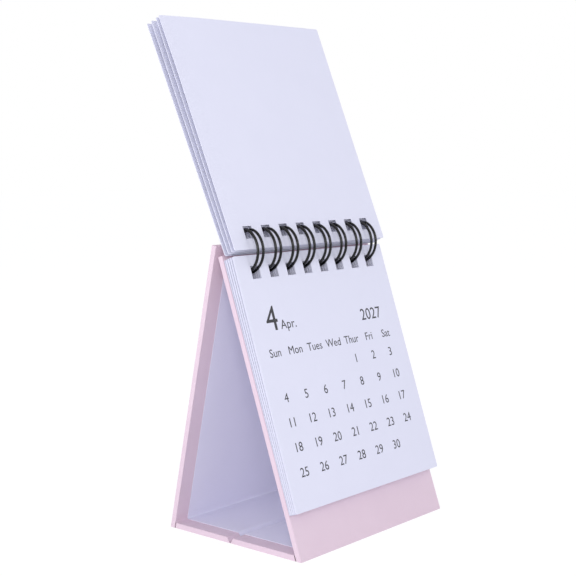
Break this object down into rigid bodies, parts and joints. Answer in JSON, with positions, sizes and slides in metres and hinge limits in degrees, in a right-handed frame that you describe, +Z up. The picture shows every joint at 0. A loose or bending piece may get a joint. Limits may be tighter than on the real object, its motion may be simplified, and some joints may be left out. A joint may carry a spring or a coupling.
{
  "type": "standing desk calendar",
  "caption": "Small desk calendar: paper-covered folding A-shaped stand with a twin-loop wire binding, hanging month leaves, and turned leaves standing above the wire.",
  "frame": {"origin": "on the table, under the middle of the bounding box", "axes": "+X along the wire to the reader's right, +Y towards the back of the stand, +Z up"},
  "size_m": [0.0764, 0.063, 0.1701],
  "materials": {
    "greyboard": "plain uncoated grey board",
    "pink_paper": "pale pink wrapping paper, matt, fine texture",
    "lining_paper": "pale lavender white lining paper, matt",
    "black_wire": "gloss black coated steel wire",
    "leaf_paper": "uncoated off-white heavy paper, matt",
    "cover_paper": "pale pink heavy paper, matt, gold foil numerals"
  },
  "bodies": {
    "front_stand": {"front_greyboard": "greyboard", "front_paper": "pink_paper", "front_lining": "lining_paper", "wire_binding": "black_wire"},
    "base_front_half": {"base_front_greyboard": "greyboard", "base_front_paper": "pink_paper", "base_front_lining": "lining_paper"},
    "base_rear_half": {"base_rear_greyboard": "greyboard", "base_rear_paper": "pink_paper", "base_rear_lining": "lining_paper"},
    "back_board": {"back_greyboard": "greyboard", "back_paper": "pink_paper", "back_lining": "lining_paper"},
    "december_page": {"december_leaf": "leaf_paper"},
    "november_page": {"november_leaf": "leaf_paper"},
    "october_page": {"october_leaf": "leaf_paper"},
    "september_page": {"september_leaf": "leaf_paper"},
    "august_page": {"august_leaf": "leaf_paper"},
    "july_page": {"july_leaf": "leaf_paper"},
    "june_page": {"june_leaf": "leaf_paper"},
    "may_page": {"may_leaf": "leaf_paper"},
    "april_page": {"april_leaf": "leaf_paper"},
    "cover_page": {"cover_leaf": "cover_paper"},
    "january_page": {"january_leaf": "leaf_paper"},
    "february_page": {"february_leaf": "leaf_paper"},
    "march_page": {"march_leaf": "leaf_paper"}
  },
  "joints": [
    {"name": "front_corner_fold", "type": "hinge", "parent": "front_stand", "child": "base_front_half", "pos_m": [0, -0.02849, 0.00215], "axis": [1, 0, 0], "range_deg": [0, 70]},
    {"name": "base_middle_fold", "type": "hinge", "parent": "base_front_half", "child": "base_rear_half", "pos_m": [0, -0.00152, -0.0001], "axis": [-1, 0, 0], "range_deg": [0, 177.2]},
    {"name": "back_corner_fold", "type": "hinge", "parent": "base_rear_half", "child": "back_board", "pos_m": [0, 0.02331, 0.00215], "axis": [1, 0, 0], "range_deg": [0, 76.6]},
    {"name": "december_turn", "type": "hinge", "parent": "front_stand", "child": "december_page", "pos_m": [0, -0.00319, 0.09214], "axis": [1, 0, 0], "range_deg": [-5, 0]},
    {"name": "november_turn", "type": "hinge", "parent": "december_page", "child": "november_page", "pos_m": [0, -0.00319, 0.09214], "axis": [1, 0, 0], "range_deg": [-5, 0]},
    {"name": "october_turn", "type": "hinge", "parent": "november_page", "child": "october_page", "pos_m": [0, -0.00319, 0.09214], "axis": [1, 0, 0], "range_deg": [-5, 0]},
    {"name": "september_turn", "type": "hinge", "parent": "october_page", "child": "september_page", "pos_m": [0, -0.00319, 0.09214], "axis": [1, 0, 0], "range_deg": [-5, 0]},
    {"name": "august_turn", "type": "hinge", "parent": "september_page", "child": "august_page", "pos_m": [0, -0.00319, 0.09214], "axis": [1, 0, 0], "range_deg": [-5, 0]},
    {"name": "july_turn", "type": "hinge", "parent": "august_page", "child": "july_page", "pos_m": [0, -0.00319, 0.09214], "axis": [1, 0, 0], "range_deg": [-5, 0]},
    {"name": "june_turn", "type": "hinge", "parent": "july_page", "child": "june_page", "pos_m": [0, -0.00319, 0.09214], "axis": [1, 0, 0], "range_deg": [-5, 0]},
    {"name": "may_turn", "type": "hinge", "parent": "june_page", "child": "may_page", "pos_m": [0, -0.00319, 0.09214], "axis": [1, 0, 0], "range_deg": [-5, 0]},
    {"name": "april_turn", "type": "hinge", "parent": "may_page", "child": "april_page", "pos_m": [0, -0.00319, 0.09214], "axis": [-1, 0, 0], "range_deg": [0, 50]},
    {"name": "cover_turn", "type": "hinge", "parent": "front_stand", "child": "cover_page", "pos_m": [0, -0.00072, 0.0938], "axis": [-1, 0, 0], "range_deg": [0, 40]},
    {"name": "january_turn", "type": "hinge", "parent": "cover_page", "child": "january_page", "pos_m": [0, -0.00072, 0.0938], "axis": [-1, 0, 0], "range_deg": [-2, 0]},
    {"name": "february_turn", "type": "hinge", "parent": "january_page", "child": "february_page", "pos_m": [0, -0.00072, 0.0938], "axis": [-1, 0, 0], "range_deg": [-2, 0]},
    {"name": "march_turn", "type": "hinge", "parent": "february_page", "child": "march_page", "pos_m": [0, -0.00072, 0.0938], "axis": [-1, 0, 0], "range_deg": [-2, 0]}
  ],
  "couplings": [
    {"joint": "front_corner_fold", "follows": "base_middle_fold", "ratio": 0.3939},
    {"joint": "back_corner_fold", "follows": "base_middle_fold", "ratio": 0.4317}
  ]
}
